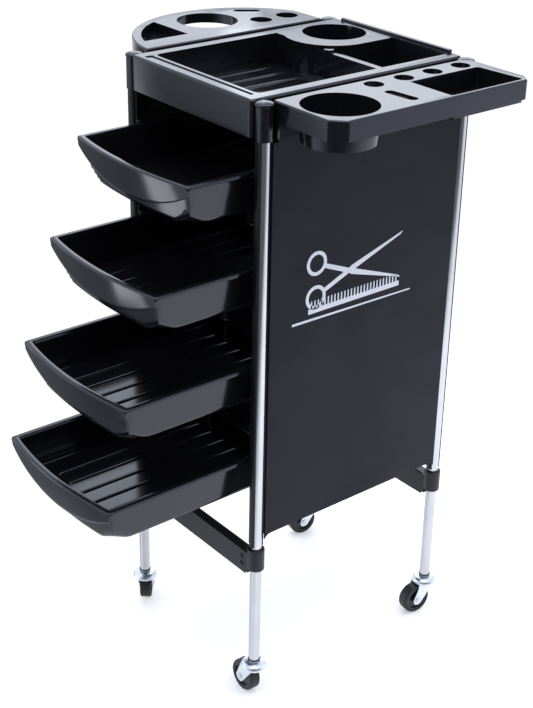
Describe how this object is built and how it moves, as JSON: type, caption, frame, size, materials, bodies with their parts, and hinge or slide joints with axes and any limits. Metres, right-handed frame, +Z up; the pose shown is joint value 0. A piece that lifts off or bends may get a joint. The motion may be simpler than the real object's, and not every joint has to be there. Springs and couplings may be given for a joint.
{
  "type": "salon trolley",
  "caption": "Upright salon trolley on swivel casters: chromed tube legs, black side panels, a stack of pull-out drawers, a moulded top tray and a lift-off tool tray on each side.",
  "frame": {"origin": "on the floor, at the centre of the square of four legs", "axes": "+Z up, +Y towards the back, +X to the right as seen by someone standing at the drawer fronts; lengths in metres"},
  "size_m": [0.543, 0.5995, 0.892],
  "materials": {
    "leg_chrome": "bright chromed steel tube",
    "gloss_black": "glossy black moulded ABS",
    "strip_black": "satin black extruded plastic",
    "panel_charcoal": "semi-matte charcoal sheet",
    "collar_black": "satin black moulded plastic",
    "screw_steel": "zinc-plated screws",
    "caster_zinc": "bright zinc-plated pressed steel",
    "caster_steel": "turned steel",
    "sleeve_plastic": "nylon sleeve",
    "hub_black": "moulded nylon",
    "tyre_rubber": "black rubber tread",
    "print_white": "white screen print"
  },
  "bodies": {
    "frame": {"leg_front_left": "leg_chrome", "corner_socket_front_left": "gloss_black", "post_strip_front_left": "strip_black", "leg_collar_front_left": "collar_black", "caster_stem_front_left": "caster_steel", "leg_front_right": "leg_chrome", "corner_socket_front_right": "gloss_black", "post_strip_front_right": "strip_black", "leg_collar_front_right": "collar_black", "caster_stem_front_right": "caster_steel", "leg_rear_left": "leg_chrome", "corner_socket_rear_left": "gloss_black", "post_strip_rear_left": "strip_black", "leg_collar_rear_left": "collar_black", "caster_stem_rear_left": "caster_steel", "leg_rear_right": "leg_chrome", "corner_socket_rear_right": "gloss_black", "post_strip_rear_right": "strip_black", "leg_collar_rear_right": "collar_black", "caster_stem_rear_right": "caster_steel", "socket_caps": "gloss_black", "caster_sleeves": "sleeve_plastic", "side_panel_left": "panel_charcoal", "side_panel_right": "panel_charcoal", "crossbar_front": "collar_black", "crossbar_rear": "collar_black", "crossbar_screws": "screw_steel", "runner_left_1": "strip_black", "runner_left_2": "strip_black", "runner_left_3": "strip_black", "runner_left_4": "strip_black", "runner_right_1": "strip_black", "runner_right_2": "strip_black", "runner_right_3": "strip_black", "runner_right_4": "strip_black", "top_tray": "gloss_black", "panel_print": "print_white"},
    "drawer_1": {"drawer_1": "gloss_black"},
    "drawer_2": {"drawer_2": "gloss_black"},
    "drawer_3": {"drawer_3": "gloss_black"},
    "drawer_4": {"drawer_4": "gloss_black"},
    "side_tray_left": {"side_tray_left": "gloss_black"},
    "side_tray_right": {"side_tray_right": "gloss_black"},
    "caster_swivel_front_left": {"caster_fork_front_left": "caster_zinc", "caster_axle_front_left": "caster_steel"},
    "wheel_front_left": {"caster_hub_front_left": "hub_black", "caster_tyre_front_left": "tyre_rubber"},
    "caster_swivel_front_right": {"caster_fork_front_right": "caster_zinc", "caster_axle_front_right": "caster_steel"},
    "wheel_front_right": {"caster_hub_front_right": "hub_black", "caster_tyre_front_right": "tyre_rubber"},
    "caster_swivel_rear_left": {"caster_fork_rear_left": "caster_zinc", "caster_axle_rear_left": "caster_steel"},
    "wheel_rear_left": {"caster_hub_rear_left": "hub_black", "caster_tyre_rear_left": "tyre_rubber"},
    "caster_swivel_rear_right": {"caster_fork_rear_right": "caster_zinc", "caster_axle_rear_right": "caster_steel"},
    "wheel_rear_right": {"caster_hub_rear_right": "hub_black", "caster_tyre_rear_right": "tyre_rubber"}
  },
  "joints": [
    {"name": "drawer_1_slide", "type": "slide", "parent": "frame", "child": "drawer_1", "axis": [0, -1, 0], "range_m": [-0.091, 0.159]},
    {"name": "drawer_2_slide", "type": "slide", "parent": "frame", "child": "drawer_2", "axis": [0, -1, 0], "range_m": [-0.139, 0.111]},
    {"name": "drawer_3_slide", "type": "slide", "parent": "frame", "child": "drawer_3", "axis": [0, -1, 0], "range_m": [-0.186, 0.064]},
    {"name": "drawer_4_slide", "type": "slide", "parent": "frame", "child": "drawer_4", "axis": [0, -1, 0], "range_m": [-0.215, 0.035]},
    {"name": "side_tray_left_lift", "type": "slide", "parent": "frame", "child": "side_tray_left", "axis": [0, 0, 1], "range_m": [0, 0.06]},
    {"name": "side_tray_right_lift", "type": "slide", "parent": "frame", "child": "side_tray_right", "axis": [0, 0, 1], "range_m": [0, 0.06]},
    {"name": "caster_front_left_swivel", "type": "hinge", "parent": "frame", "child": "caster_swivel_front_left", "pos_m": [-0.138, -0.171, 0.055], "axis": [0, 0, 1], "continuous": true},
    {"name": "wheel_front_left_spin", "type": "hinge", "parent": "caster_swivel_front_left", "child": "wheel_front_left", "pos_m": [-0.15199, -0.15967, 0.0235], "axis": [-0.6293, -0.7771, 0], "continuous": true},
    {"name": "caster_front_right_swivel", "type": "hinge", "parent": "frame", "child": "caster_swivel_front_right", "pos_m": [0.138, -0.171, 0.055], "axis": [0, 0, 1], "continuous": true},
    {"name": "wheel_front_right_spin", "type": "hinge", "parent": "caster_swivel_front_right", "child": "wheel_front_right", "pos_m": [0.12001, -0.17037, 0.0235], "axis": [-0.0349, -0.9994, 0], "continuous": true},
    {"name": "caster_rear_left_swivel", "type": "hinge", "parent": "frame", "child": "caster_swivel_rear_left", "pos_m": [-0.138, 0.171, 0.055], "axis": [0, 0, 1], "continuous": true},
    {"name": "wheel_rear_left_spin", "type": "hinge", "parent": "caster_swivel_rear_left", "child": "wheel_rear_left", "pos_m": [-0.1405, 0.15318, 0.0235], "axis": [0.9903, -0.1392, 0], "continuous": true},
    {"name": "caster_rear_right_swivel", "type": "hinge", "parent": "frame", "child": "caster_swivel_rear_right", "pos_m": [0.138, 0.171, 0.055], "axis": [0, 0, 1], "continuous": true},
    {"name": "wheel_rear_right_spin", "type": "hinge", "parent": "caster_swivel_rear_right", "child": "wheel_rear_right", "pos_m": [0.13581, 0.15313, 0.0235], "axis": [0.9925, -0.1219, 0], "continuous": true}
  ]
}
